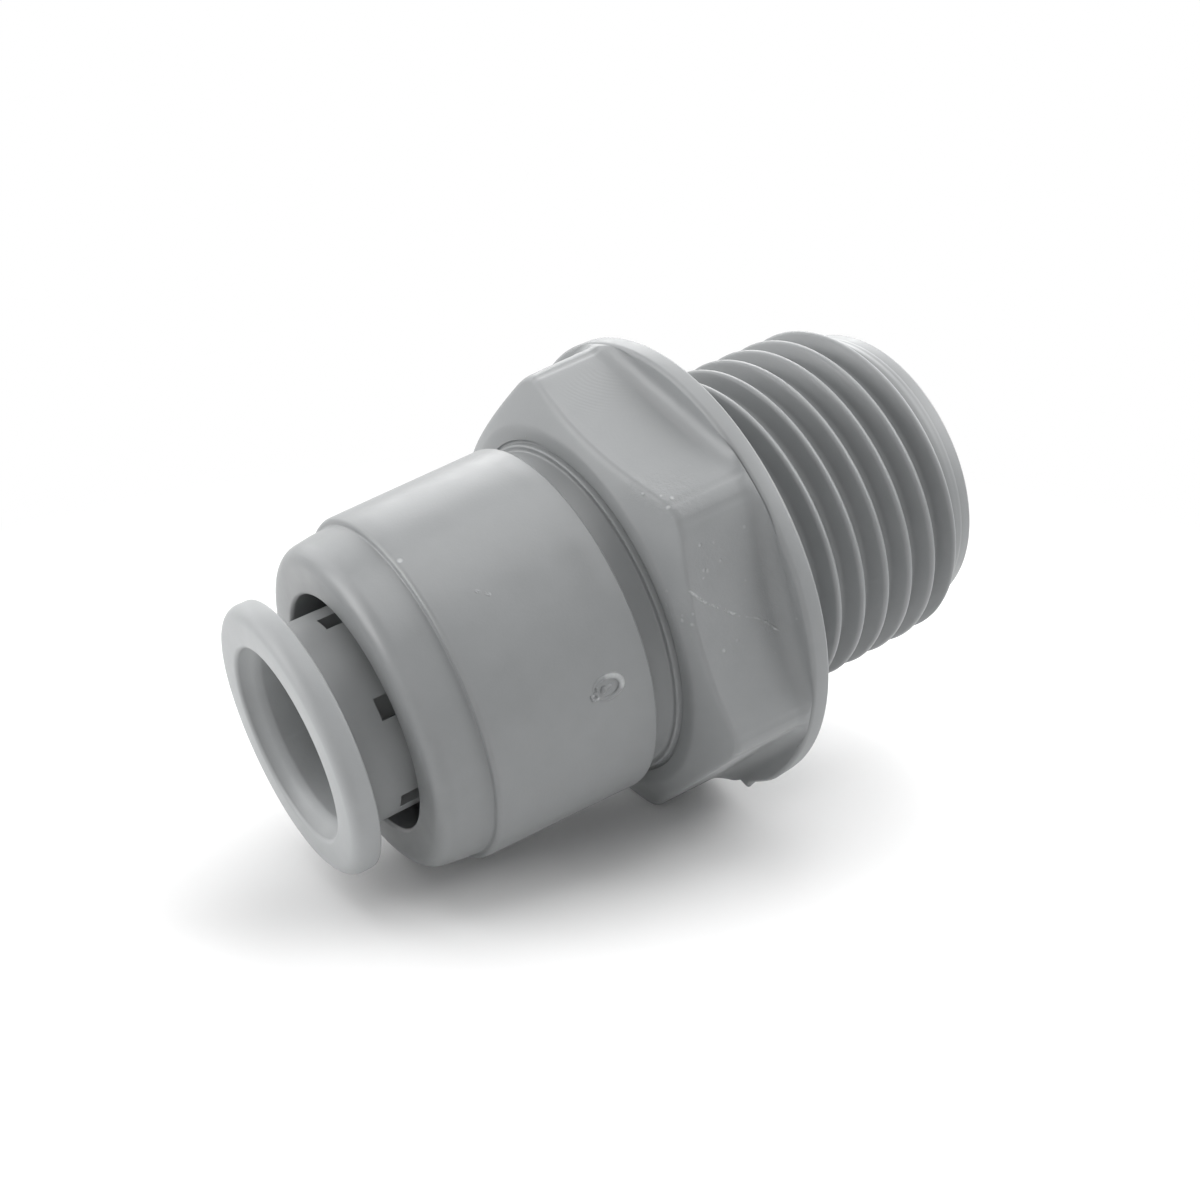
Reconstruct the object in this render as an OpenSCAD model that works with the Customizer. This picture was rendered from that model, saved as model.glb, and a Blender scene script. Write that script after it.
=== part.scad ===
// Push-in tube fitting with a male pipe thread. It stands on the end of its thread, with the tube
// socket upwards and the origin in the middle of the face that it stands on.

/* [Thread] */
// Outside diameter over the thread crests, a moulded half inch parallel pipe thread
thread_d = 20.6; // [19.6:0.1:22]
// Pitch of the thread, 14 turns to the inch
thread_pitch = 1.814; // [1.6:0.001:2.2]
// Depth of the thread from crest to root
thread_depth = 1.1; // [0.6:0.05:1.3]
// Length of the spigot from its end face to the flange
spigot_l = 15.5; // [13:0.5:20]
// Lead-in chamfer from the thread's root in to the end face
end_chamfer = 0.15; // [0.1:0.05:0.8]
// Half width of the thread's narrow crest
crest_half_w = 0.13; // [0.05:0.01:0.2]
// Length along the spigot in which the thread dies away
thread_run_out = 0.6; // [0.3:0.1:1.5]
// Plain length left between the thread and the flange
thread_relief = 0.9; // [0.6:0.1:2]
// Bore that is cored out of the spigot from its end
core_d = 12; // [9:0.5:13]
// Depth of that cored bore
core_l = 12; // [6:0.5:13]
// Waterway through the tube stop
waterway_d = 7.5; // [6:0.1:8]

/* [Flange and hexagon] */
// Diameter of the round flange
flange_d = 28.4; // [27.8:0.1:32]
// Thickness of the flange at its rim
flange_t = 1.2; // [0.9:0.1:3]
// Rounding of the flange's edge towards the hexagon
flange_round = 0.3; // [0.1:0.05:0.5]
// Chamfer of the flange's edge towards the thread
flange_edge = 0.12; // [0.05:0.01:0.3]
// Size of the hexagon across its flats
hex_af = 24.6; // [23:0.1:26]
// Height of the hexagon above the flange
hex_h = 6.1; // [5:0.1:12]
// Rounding of the hexagon's upright corners
hex_corner_r = 0.7; // [0.2:0.1:1.5]
// Hollow fillet where the hexagon's flats run into the flange
hex_root_r = 0.95; // [0.4:0.05:1.5]
// Slope of the chamfer round the hexagon's top, from the level
hex_chamfer_deg = 21; // [15:1:40]
// Groove between the top of that chamfer and the lip
lip_gap = 0.25; // [0.1:0.05:0.5]
// Height of the moulded lip round the hexagon's top
lip_h = 0.25; // [0.1:0.05:0.6]
// Thickness of that lip
lip_t = 0.35; // [0.2:0.05:0.5]

/* [Socket body] */
// Step in from the sleeve of the cap to the neck that shows under it
neck_step = 0.8; // [0.5:0.05:1]
// Height of the neck from the hexagon to the cap
neck_h = 1.85; // [1:0.05:4]
// Wall of the cap round the barrel
cap_wall = 1.7; // [1.4:0.05:2]
// Clearance of the cap round the barrel
cap_fit = 0.05; // [0.02:0.01:0.1]
// Length of the barrel above the neck
barrel_l = 2.55; // [1.5:0.05:3]
// Length of the close bore that guides the tube's end
guide_l = 4; // [3:0.1:4.5]
// Radial clearance of the tube in its close bore
tube_gap = 0.135; // [0.05:0.005:0.2]

/* [Tube and seals] */
// Outside diameter of the tube, three eighths of an inch
tube_d = 9.53; // [8:0.01:10]
// Radial squeeze that an O-ring gives the tube
seal_squeeze = 0.065; // [0.02:0.005:0.08]
// Section diameter of the O-rings
o_ring_t = 1.9; // [1.5:0.05:2.1]
// Clearance of the seals in their gland
gland_gap = 0.05; // [0.02:0.01:0.1]
// Thickness of the spacer between the two O-rings
spacer_t = 1; // [0.6:0.1:2]
// Thickness of the thrust ring that holds the seals in
thrust_t = 1; // [0.6:0.1:1.5]
// Radial clearance of the tube in the spacer and the thrust ring
ring_gap = 0.25; // [0.15:0.05:0.6]

/* [Cap] */
// Diameter of the sleeve at its open end
sleeve_d = 21.4; // [20.6:0.1:24]
// Length of the sleeve from its open end to the step
sleeve_l = 10.1; // [9:0.1:14]
// Draft of the sleeve
sleeve_draft_deg = 1.8; // [0:0.1:2.5]
// Rounding of the sleeve's edge at the step
step_round = 0.3; // [0.1:0.05:0.35]
// Width of the step down to the nose
step_w = 0.43; // [0.35:0.01:1]
// Length of the nose from the step to its face
nose_l = 2.95; // [2.5:0.05:5]
// Draft of the nose
nose_draft_deg = 4; // [0:0.5:6]
// Rounding of the nose's front edge
nose_round = 1.1; // [0.3:0.05:1.3]
// Diameter of the cap's mouth
mouth_d = 14.1; // [13.6:0.1:14.6]
// Length of the mouth's straight wall
mouth_l = 1.5; // [1:0.1:2.5]
// Diameter of the hollow in which the collet's fingers move
chamber_d = 15.8; // [15.4:0.1:16.4]
// Length of the cone that closes the fingers on the tube
grip_cone_l = 3; // [2:0.1:4]

/* [Collet] */
// Number of fingers
finger_count = 6; // [4:1:8]
// Outside diameter of the collet's tube
collet_d = 12; // [11.6:0.1:12.6]
// Radial clearance of the tube in the collet
collet_gap = 0.235; // [0.15:0.005:0.4]
// Diameter of the collet's flange
collet_flange_d = 16; // [15:0.1:18]
// Thickness of the collet's flange
collet_flange_t = 1.47; // [1:0.01:2.5]
// Rounding of the flange's front edge
collet_round = 0.8; // [0.3:0.05:1]
// Diameter of the lead-in at the front of the collet
lead_in_d = 11.7; // [11:0.1:12.6]
// Depth of the lead-in
lead_in_l = 1.15; // [0.6:0.05:2]
// Rounding of the lead-in's edge
lead_in_round = 0.3; // [0.1:0.05:0.4]
// Distance that the collet can be pushed in
collet_travel = 2.5; // [1.5:0.1:3]
// Gap that is left at the end of that travel
travel_gap = 0.2; // [0.1:0.05:0.4]
// Width of the slots between the fingers
slot_w = 1.25; // [0.6:0.05:1.8]
// Height of the slots' closed ends above the cap's face
slot_show = 0.4; // [-1:0.1:1]
// Clearance between the fingers and the grip cone
finger_gap = 0.3; // [0.15:0.05:0.5]
// Gap under the fingers' tips when the collet is pushed in
tip_gap = 0.5; // [0.2:0.1:0.9]
// Chamfer of the fingers' tips
tip_chamfer = 0.6; // [0.2:0.1:0.9]
// Length of the wedge on a finger that meets the grip cone
wedge_l = 1.6; // [0.8:0.1:2.4]
// Turn of the collet in the cap, at which it happened to stay
collet_turn_deg = 47; // [0:1:60]

/* [Teeth] */
// Thickness of the steel teeth
tooth_t = 0.4; // [0.2:0.05:0.5]
// Width of a tooth
tooth_w = 3; // [2:0.1:3.4]
// Distance of the teeth below the foot of the grip cone
tooth_drop = 0.5; // [0.4:0.05:0.7]
// Radial bite of a tooth into the tube
tooth_bite = 0.085; // [0.05:0.005:0.1]
// Angle at which the teeth lean inwards and down
tooth_lean_deg = 20; // [0:1:30]
// Depth of the notches between its points
tooth_notch = 0.35; // [0.2:0.05:0.6]
// Plastic left outside a tooth
tooth_cover = 0.3; // [0.2:0.05:0.6]
// Clearance of a tooth in its pocket
tooth_fit = 0.03; // [0.02:0.01:0.05]

/* [Hidden] */
$fn = 96;
// Facets of the small round forms
SMALL_FN = 48;
FINGERS = [for (i = [1:finger_count]) i];

body_colour = "#8f9294";
collet_colour = "#96999b";
rubber_colour = "#262628";
washer_colour = "#d9dad6";
steel_colour = "#c4c6c8";

// A cut runs this far past the face that it opens
past = 1;
// Points along a rounded edge
arc_steps = 6;
// Straight pieces of thread in one turn
turn_steps = 40;

// Heights of the body
flange_z = spigot_l;
hex_z = flange_z + flange_t;
hex_top_z = hex_z + hex_h;
cap_z = hex_top_z + neck_h;
body_top_z = cap_z + barrel_l;
gland_l = 2 * o_ring_t + spacer_t + 4 * gland_gap;
gland_z = body_top_z - gland_l;
stop_z = gland_z - guide_l;

// Radii of the socket's outside
sleeve_r = sleeve_d / 2;
neck_r = sleeve_r - neck_step;
lip_r = neck_r + lip_t;
barrel_r = sleeve_r - cap_wall;

// Radii round the tube
guide_r = tube_d / 2 + tube_gap;
seal_r = tube_d / 2 - seal_squeeze;
ring_r = tube_d / 2 + ring_gap;
gland_r = seal_r + o_ring_t + gland_gap;
collet_bore_r = tube_d / 2 + collet_gap;
tooth_r = tube_d / 2 - tooth_bite;

// Heights of the seals
inner_o_ring_z = gland_z + gland_gap + o_ring_t / 2;
spacer_z = inner_o_ring_z + o_ring_t / 2 + gland_gap;
outer_o_ring_z = spacer_z + spacer_t + gland_gap + o_ring_t / 2;
thrust_top_z = body_top_z + thrust_t;

// Heights of the cap
step_z = cap_z + sleeve_l;
face_z = step_z + nose_l;
cone_top_z = face_z - mouth_l;
cone_foot_z = cone_top_z - grip_cone_l;

// Heights of the collet
collet_back_z = face_z + collet_travel + travel_gap;
collet_front_z = collet_back_z + collet_flange_t;
head_top_z = cone_foot_z;
tip_z = thrust_top_z + collet_travel + tip_gap;
slot_end_z = face_z + slot_show;
cone_slope = (chamber_d - mouth_d) / 2 / grip_cone_l;
cone_gap_r = finger_gap * sqrt(1 + pow(cone_slope, 2));
head_r = chamber_d / 2 - cone_gap_r;
wedge_r = head_r - wedge_l * cone_slope;
wedge_top_z = head_top_z + wedge_l;

// Places of the teeth
tooth_z = head_top_z - tooth_drop;
tooth_outer_r = head_r - tooth_cover;
finger_deg = 360 / finger_count;

// Radii and phase of the thread
crest_r = thread_d / 2;
root_r = crest_r - thread_depth;
// The ridge stands on a foot that is sunk into the core
ridge_sink = 0.15;
ridge_foot_r = root_r - ridge_sink;
ridge_h = crest_r - ridge_foot_r;
flank_deg = 27.5;
ridge_foot_w = crest_half_w + ridge_h * tan(flank_deg);
// Height of the crest's edges, as a share of the ridge's height
crest_edge_share = 0.94;
// Even where the ridge dies away, this share of its height stays in the core
least_share = 0.03;
// The ridge's foot stays this far above the end face
foot_clearance = 0.1;
ridge_low_z = ridge_foot_w + foot_clearance;
ridge_top_z = spigot_l - thread_relief;
// Angle at which the ridge rises from the end's chamfer
thread_start_deg = 326;

// Points of an arc round a centre, from one angle to another
function arc(centre, r, from, to) = [
    for (i = [0:arc_steps])
        let (a = from + (to - from) * i / arc_steps)
        centre + r * [cos(a), sin(a)]
];

// Share of the ridge's full height at a height along the spigot: it grows out of the end's chamfer
// and dies away at the relief under the flange
function ridge_share(z) =
    let (
        rise = (z - ridge_low_z) / thread_depth,
        fall = (ridge_top_z - z) / thread_run_out
    )
    max(least_share, min(1, rise, fall));

// Section of the ridge at one point of the helix: its two sunk corners, its flanks and its crest
function ridge_section(z) =
    let (
        lift = ridge_h * ridge_share(z),
        edge_r = ridge_foot_r + lift * crest_edge_share
    )
    [
        [ridge_foot_r, z - ridge_foot_w],
        [edge_r, z - crest_half_w],
        [ridge_foot_r + lift, z],
        [edge_r, z + crest_half_w],
        [ridge_foot_r, z + ridge_foot_w]
    ];

function around(p, a) = [p[0] * cos(a), p[0] * sin(a), p[1]];

module thread_ridge() {
    steps = ceil((ridge_top_z - ridge_low_z) / thread_pitch * turn_steps);
    count = 5;
    points = [
        for (i = [0:steps])
            let (
                turn = i / turn_steps,
                section = ridge_section(ridge_low_z + turn * thread_pitch)
            )
            for (p = section) around(p, thread_start_deg + 360 * turn)
    ];
    sides = [
        for (i = [0:steps - 1])
            for (j = [0:count - 1])
                let (
                    k = (j + 1) % count,
                    a = i * count,
                    b = (i + 1) * count
                )
                each [[a + j, a + k, b + k], [a + j, b + k, b + j]]
    ];
    start = [[4, 3, 2, 1, 0]];
    last = steps * count;
    end = [[last, last + 1, last + 2, last + 3, last + 4]];
    polyhedron(points, concat(start, sides, end), convexity = 12);
}

// Turned core of the spigot with its chamfered end
module spigot_core() {
    inside_flange_z = flange_z + flange_t / 2;
    rotate_extrude()
        polygon([
            [0, 0], [root_r - end_chamfer, 0], [root_r, end_chamfer],
            [root_r, inside_flange_z], [0, inside_flange_z]
        ]);
}

module flange_disc() {
    r = flange_d / 2;
    rotate_extrude()
        polygon(concat(
            [[0, 0], [r - flange_edge, 0], [r, flange_edge]],
            arc([r - flange_round, flange_t - flange_round], flange_round, 0, 90),
            [[0, flange_t]]
        ));
}

module hexagon(af) {
    circle(d = af / cos(30), $fn = 6);
}

// Hexagon with round corners whose flats stay at their full width
module round_hexagon(af, r) {
    inner = (af / 2 - r) / cos(30);
    intersection() {
        hexagon(af);
        union() {
            for (i = [0:2]) rotate(60 * i) square([af * 2, 2 * inner * sin(30)], center = true);
            for (i = [0:5]) rotate(60 * i) translate([inner, 0]) circle(r = r, $fn = SMALL_FN);
        }
    }
}

// Skirt round the hexagon's foot, hollowed along each flat
module hex_root() {
    ap = hex_af / 2;
    difference() {
        linear_extrude(hex_root_r) hexagon(hex_af + 2 * hex_root_r);
        for (i = [0:5])
            rotate(30 + 60 * i)
                translate([ap + hex_root_r, 0, hex_root_r])
                    rotate([90, 0, 0])
                        cylinder(r = hex_root_r, h = flange_d, center = true);
    }
}

// Turned envelope that trims the hexagon: its chamfered top and the round of the flange
module hex_envelope() {
    r = flange_d / 2 - flange_round;
    top_r = lip_r + lip_gap;
    side_h = hex_h - (r - top_r) * tan(hex_chamfer_deg);
    rotate_extrude()
        polygon([[0, 0], [r, 0], [r, side_h], [top_r, hex_h], [0, hex_h]]);
}

// Neck, lip and barrel above the hexagon
module socket_barrel() {
    low = -hex_h / 2;
    barrel_top = body_top_z - hex_top_z;
    rotate_extrude()
        polygon([
            [0, low], [lip_r, low], [lip_r, lip_h], [neck_r, lip_h], [neck_r, neck_h],
            [barrel_r, neck_h], [barrel_r, barrel_top], [0, barrel_top]
        ]);
}

// Hollow of the body: cored spigot, waterway, guide bore and gland
module body_bores() {
    core_end = core_l + (core_d - waterway_d) / 2;
    translate([0, 0, -past]) cylinder(d = core_d, h = core_l + past);
    translate([0, 0, core_l]) cylinder(d1 = core_d, d2 = waterway_d, h = core_end - core_l);
    cylinder(d = waterway_d, h = stop_z + past);
    translate([0, 0, stop_z]) cylinder(r = guide_r, h = guide_l + past);
    translate([0, 0, gland_z]) cylinder(r = gland_r, h = gland_l + past);
}

module body() {
    color(body_colour)
        difference() {
            union() {
                spigot_core();
                thread_ridge();
                translate([0, 0, flange_z]) flange_disc();
                translate([0, 0, hex_z])
                    intersection() {
                        union() {
                            linear_extrude(hex_h) round_hexagon(hex_af, hex_corner_r);
                            hex_root();
                        }
                        hex_envelope();
                    }
                translate([0, 0, hex_top_z]) socket_barrel();
            }
            body_bores();
        }
}

module cap() {
    step_r = sleeve_r - sleeve_l * tan(sleeve_draft_deg);
    nose_r = step_r - step_w;
    front_r = nose_r - nose_l * tan(nose_draft_deg);
    bore_r = barrel_r + cap_fit;
    color(body_colour)
        rotate_extrude()
            polygon(concat(
                [[bore_r, cap_z], [sleeve_r, cap_z]],
                arc([step_r - step_round, step_z - step_round], step_round, sleeve_draft_deg, 90),
                [[nose_r, step_z]],
                arc([front_r - nose_round, face_z - nose_round], nose_round, nose_draft_deg, 90),
                [
                    [mouth_d / 2, face_z], [mouth_d / 2, cone_top_z], [chamber_d / 2, cone_foot_z],
                    [chamber_d / 2, thrust_top_z], [bore_r, thrust_top_z]
                ]
            ));
}

// Turned blank of the collet: flange, barrel and the wedge-shaped head of the fingers
module collet_blank() {
    tube_r = collet_d / 2;
    flange_r = collet_flange_d / 2;
    lead_r = lead_in_d / 2;
    shoulder_z = wedge_top_z + wedge_r - tube_r;
    rotate_extrude()
        polygon(concat(
            [
                [collet_bore_r, tip_z], [head_r - tip_chamfer, tip_z], [head_r, tip_z + tip_chamfer],
                [head_r, head_top_z],
                [wedge_r, wedge_top_z], [tube_r, shoulder_z], [tube_r, collet_back_z],
                [flange_r, collet_back_z]
            ],
            arc([flange_r - collet_round, collet_front_z - collet_round], collet_round, 0, 90),
            arc([lead_r + lead_in_round, collet_front_z - lead_in_round], lead_in_round, 90, 180),
            [[collet_bore_r, collet_front_z - lead_in_l]]
        ));
}

// Flat outline of a tooth, from its seat in the finger to its three points at the tube
module tooth_outline(grow) {
    half = tooth_w / 2 + grow;
    step = half / 3;
    back = tooth_outer_r + grow;
    front = [
        for (i = [3:-1:-3])
            let (r = tooth_r + (i % 2 == 0 ? 0 : tooth_notch))
            [sqrt(pow(r, 2) - pow(i * step, 2)) - grow, i * step]
    ];
    polygon(concat([[back, -half], [back, half]], front));
}

// One tooth in its place, or its pocket when it is grown by the clearance
module tooth_plate(i, grow = 0) {
    rotate(collet_turn_deg + finger_deg * (i - 0.5))
        translate([tooth_r, 0, tooth_z])
            rotate([0, -tooth_lean_deg, 0])
                translate([-tooth_r, 0, -tooth_t / 2 - grow])
                    linear_extrude(tooth_t + 2 * grow) tooth_outline(grow);
}

module collet() {
    color(collet_colour)
        difference() {
            collet_blank();
            for (i = FINGERS)
                rotate(collet_turn_deg + finger_deg * i)
                    translate([0, -slot_w / 2, tip_z - past])
                        cube([chamber_d / 2, slot_w, slot_end_z - tip_z + past]);
            for (i = FINGERS) tooth_plate(i, tooth_fit);
        }
}

module tooth(i) {
    color(steel_colour) tooth_plate(i);
}

module o_ring(z) {
    color(rubber_colour)
        translate([0, 0, z])
            rotate_extrude()
                translate([seal_r + o_ring_t / 2, 0]) circle(d = o_ring_t, $fn = SMALL_FN);
}

module flat_ring(z, outer_r, t) {
    color(washer_colour)
        translate([0, 0, z])
            difference() {
                cylinder(r = outer_r, h = t);
                translate([0, 0, -past]) cylinder(r = ring_r, h = t + 2 * past);
            }
}

body();
cap();
collet();
o_ring(inner_o_ring_z);  // inner_o_ring
flat_ring(spacer_z, gland_r - gland_gap, spacer_t);  // spacer
o_ring(outer_o_ring_z);  // outer_o_ring
flat_ring(body_top_z, barrel_r - cap_fit, thrust_t);  // thrust_ring
for (i = FINGERS) tooth(i);
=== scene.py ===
import math

import bpy
from mathutils import Matrix, Vector


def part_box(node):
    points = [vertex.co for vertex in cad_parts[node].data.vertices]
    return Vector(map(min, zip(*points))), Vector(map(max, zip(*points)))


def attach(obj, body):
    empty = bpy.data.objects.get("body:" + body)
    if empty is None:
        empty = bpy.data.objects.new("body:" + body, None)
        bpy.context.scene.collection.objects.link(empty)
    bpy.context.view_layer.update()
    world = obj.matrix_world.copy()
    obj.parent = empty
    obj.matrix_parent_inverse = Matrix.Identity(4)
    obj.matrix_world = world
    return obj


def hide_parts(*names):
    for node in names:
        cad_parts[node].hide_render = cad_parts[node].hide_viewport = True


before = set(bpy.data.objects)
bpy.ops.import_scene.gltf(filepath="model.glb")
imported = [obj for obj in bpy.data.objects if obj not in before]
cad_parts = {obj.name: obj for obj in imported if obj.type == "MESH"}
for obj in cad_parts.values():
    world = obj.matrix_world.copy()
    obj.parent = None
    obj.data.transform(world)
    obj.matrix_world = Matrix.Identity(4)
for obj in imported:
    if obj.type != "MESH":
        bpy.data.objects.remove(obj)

bl_info = {
    "name": "Male thread adapter",
    "version": (1, 0, 0),
    "blender": (4, 5, 0),
    "location": "View3D > Sidebar > Adapter",
    "description": "Models the push-in male thread adapter, its finishes and a small studio",
    "category": "Mesh",
}

MM = 0.001


# Sizes and colours

def linear(code):
    """Linear red, green and blue of an sRGB hex colour."""
    parts = [int(code[i:i + 2], 16) / 255 for i in (1, 3, 5)]
    return tuple(c / 12.92 if c <= 0.04045 else ((c + 0.055) / 1.055) ** 2.4 for c in parts)


def length(name, description, millimetres):
    return bpy.props.FloatProperty(
        name=name, description=description, default=millimetres * MM,
        min=0.0, unit="LENGTH", subtype="DISTANCE", precision=5,
    )


def colour(name, description, code):
    return bpy.props.FloatVectorProperty(
        name=name, description=description, default=linear(code),
        min=0.0, max=1.0, size=3, subtype="COLOR",
    )


class AdapterSizes(bpy.types.PropertyGroup):
    """Sizes of the adapter's visible pieces"""
    thread_d: length("Thread diameter", "Diameter over the thread's crests", 20.6)
    thread_pitch: length("Thread pitch", "Distance from crest to crest, 14 to the inch", 1.814)
    thread_depth: length("Thread depth", "Depth from crest to root", 1.1)
    spigot_l: length("Spigot length", "End face to flange", 15.5)
    flange_d: length("Flange diameter", "Diameter of the round flange", 28.4)
    flange_t: length("Flange thickness", "Thickness of the flange at its rim", 1.2)
    hex_af: length("Hexagon", "Size of the hexagon across its flats", 24.6)
    hex_h: length("Hexagon height", "Height of the hexagon above the flange", 6.1)
    hex_root: length("Hexagon fillet", "Hollow fillet between a flat and the flange", 0.95)
    hex_corner: length("Hexagon corner", "Rounding of the upright corners", 0.7)
    neck_d: length("Neck diameter", "Diameter of the neck under the cap", 19.8)
    cap_z: length("Cap height", "Height of the cap's open end", 24.65)
    sleeve_d: length("Sleeve diameter", "Diameter of the cap at its open end", 21.4)
    sleeve_l: length("Sleeve length", "Open end of the cap to its step", 10.1)
    nose_l: length("Nose length", "Step of the cap to its face", 2.95)
    mouth_d: length("Mouth diameter", "Diameter of the cap's mouth", 14.1)
    collet_d: length("Collet diameter", "Outside diameter of the collet's tube", 12.0)
    collet_bore: length("Collet bore", "Inside diameter of the collet", 10.0)
    collet_flange_d: length("Collet flange", "Diameter of the collet's flange", 16.0)
    collet_flange_t: length("Collet flange thickness", "Thickness of the flange", 1.47)
    slot_w: length("Slot width", "Width of the slots between the fingers", 1.25)


class AdapterColours(bpy.types.PropertyGroup):
    """Colours of the adapter's finishes"""
    body: colour("Body", "Grey of the moulded body", "#828485")
    cap: colour("Cap", "Grey of the moulded cap", "#7f8182")
    collet: colour("Collet", "Grey of the moulded collet", "#929495")
    rubber: colour("Seals", "Black of the nitrile rubber", "#202022")
    natural: colour("Rings", "White of the natural acetal", "#dcdcd6")
    steel: colour("Teeth", "Grey of the stainless strip", "#c6c8ca")


def sizes():
    """Sizes in millimetres, by name."""
    group = bpy.context.scene.adapter_sizes
    return {name: getattr(group, name) / MM for name in AdapterSizes.__annotations__}


# Modelling by hand

def select_none():
    if bpy.context.object and bpy.context.object.mode != "OBJECT":
        bpy.ops.object.mode_set(mode="OBJECT")
    bpy.ops.object.select_all(action="DESELECT")


def select_only(piece):
    select_none()
    piece.select_set(True)
    bpy.context.view_layer.objects.active = piece


def arc(centre, r, start, end, steps):
    """Points of an arc in a profile: radius and height in millimetres, angles in degrees."""
    points = []
    for i in range(steps + 1):
        a = math.radians(start + (end - start) * i / steps)
        points.append((centre[0] + r * math.cos(a), centre[1] + r * math.sin(a)))
    return points


def straight(start, end, steps):
    """Points that divide a straight stretch of a profile, after its start and up to its end."""
    points = []
    for i in range(1, steps + 1):
        points.append(tuple(a + (b - a) * i / steps for a, b in zip(start, end)))
    return points


def draw_profile(name, profile):
    """Draws a chain of edges in the XZ plane, vertex by vertex, and stays in edit mode."""
    select_none()
    bpy.ops.mesh.primitive_plane_add(size=MM, location=(0, 0, 0))
    piece = bpy.context.object
    piece.name = piece.data.name = name
    bpy.ops.object.mode_set(mode="EDIT")
    bpy.ops.mesh.select_all(action="SELECT")
    bpy.ops.mesh.merge(type="CENTER")
    here = (0.0, 0.0)
    for i, point in enumerate(profile):
        step = ((point[0] - here[0]) * MM, 0, (point[1] - here[1]) * MM)
        if i == 0:
            bpy.ops.transform.translate(value=step)
        else:
            bpy.ops.mesh.extrude_region_move(TRANSFORM_OT_translate={"value": step})
        here = point
    bpy.ops.mesh.select_all(action="SELECT")
    return piece


def turn(name, profile, steps):
    """Turns a profile round the Z axis into a closed body, as on a lathe."""
    piece = draw_profile(name, profile + profile[:1])
    bpy.ops.mesh.remove_doubles(threshold=1e-7)
    bpy.ops.mesh.spin(steps=steps, angle=2 * math.pi, center=(0, 0, 0), axis=(0, 0, 1))
    bpy.ops.mesh.select_all(action="SELECT")
    bpy.ops.mesh.remove_doubles(threshold=1e-6)
    bpy.ops.mesh.normals_make_consistent(inside=False)
    bpy.ops.object.mode_set(mode="OBJECT")
    return piece


def soft_edges(piece, degrees):
    """Shades a piece smooth, except across edges that turn by more than some degrees."""
    select_only(piece)
    bpy.ops.object.shade_smooth_by_angle(angle=math.radians(degrees))


def apply_modifiers(piece):
    select_only(piece)
    for modifier in list(piece.modifiers):
        bpy.ops.object.modifier_apply(modifier=modifier.name)


def join(piece, parts):
    """Puts the parts' places into their meshes and joins them to a piece, which may be one of them."""
    select_none()
    for part in parts:
        part.select_set(True)
    bpy.ops.object.transform_apply(location=True, rotation=True, scale=True)
    piece.select_set(True)
    bpy.context.view_layer.objects.active = piece
    bpy.ops.object.join()


def to_radius(vertex, old_r, new_r):
    """Moves a vertex straight away from the axis or towards it."""
    vertex.co.x *= new_r / old_r
    vertex.co.y *= new_r / old_r


def least(a, b, k):
    """The smaller of two values, with a soft change from one to the other."""
    h = max(k - abs(a - b), 0.0) / k
    return min(a, b) - h * h * k / 4


def eased(t):
    """0 up to 0 and 1 from 1 on, with a soft change between them."""
    t = min(max(t, 0.0), 1.0)
    return t * t * (3 - 2 * t)


def bell(value, middle, width):
    """1 at the middle, falling softly to 0 within about two widths on each side."""
    return math.exp(-(((value - middle) / width) ** 2))


def dress(piece, body, slot, material, *nodes):
    """Gives a finished piece its material and its body, and hides the CAD nodes that it stands for; its slot
    is not used.
    """
    piece.data.materials.clear()
    piece.data.materials.append(material)
    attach(piece, body)
    if nodes:
        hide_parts(*nodes)


# Materials

# Pale grey of scratched plastic, and the paler grey where it was nicked
SCRATCHED = "#c4c6c7"
NICKED = "#c9cbcc"
# Length of one wave of the wave texture at scale 1
WAVE = 0.314


def add_node(tree, kind, inputs=None, **settings):
    """Adds a node, sets its settings, and gives each input a value or a link from another node."""
    node = tree.nodes.new(kind)
    for key, value in settings.items():
        setattr(node, key, value)
    for key, value in (inputs or {}).items():
        if isinstance(value, bpy.types.NodeSocket):
            tree.links.new(value, node.inputs[key])
        else:
            node.inputs[key].default_value = value
    return node


def new_material(name):
    """Starts a material, and gives its node tree and the place on the piece that its patterns read."""
    material = bpy.data.materials.new(name)
    material.use_nodes = True
    tree = material.node_tree
    tree.nodes.clear()
    return tree, add_node(tree, "ShaderNodeTexCoord").outputs["Object"]


def finish_material(tree, shader):
    add_node(tree, "ShaderNodeOutputMaterial", {"Surface": shader})


def per_mm(millimetres):
    """Texture scale, in turns per metre, at which a pattern repeats about every so many millimetres."""
    return 1.0 / (millimetres * MM)


def spot_mask(tree, place, centre, radius, edge):
    """1 inside a ball round a point on the part, 0 outside, with a soft edge; sizes in millimetres."""
    away = add_node(tree, "ShaderNodeVectorMath", {0: place, 1: Vector(centre) * MM}, operation="DISTANCE")
    return add_node(tree, "ShaderNodeMapRange", {
        "Value": away.outputs["Value"], "From Min": radius * MM, "From Max": (radius + edge) * MM,
        "To Min": 1.0, "To Max": 0.0,
    }, interpolation_type="SMOOTHSTEP").outputs["Result"]


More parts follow.
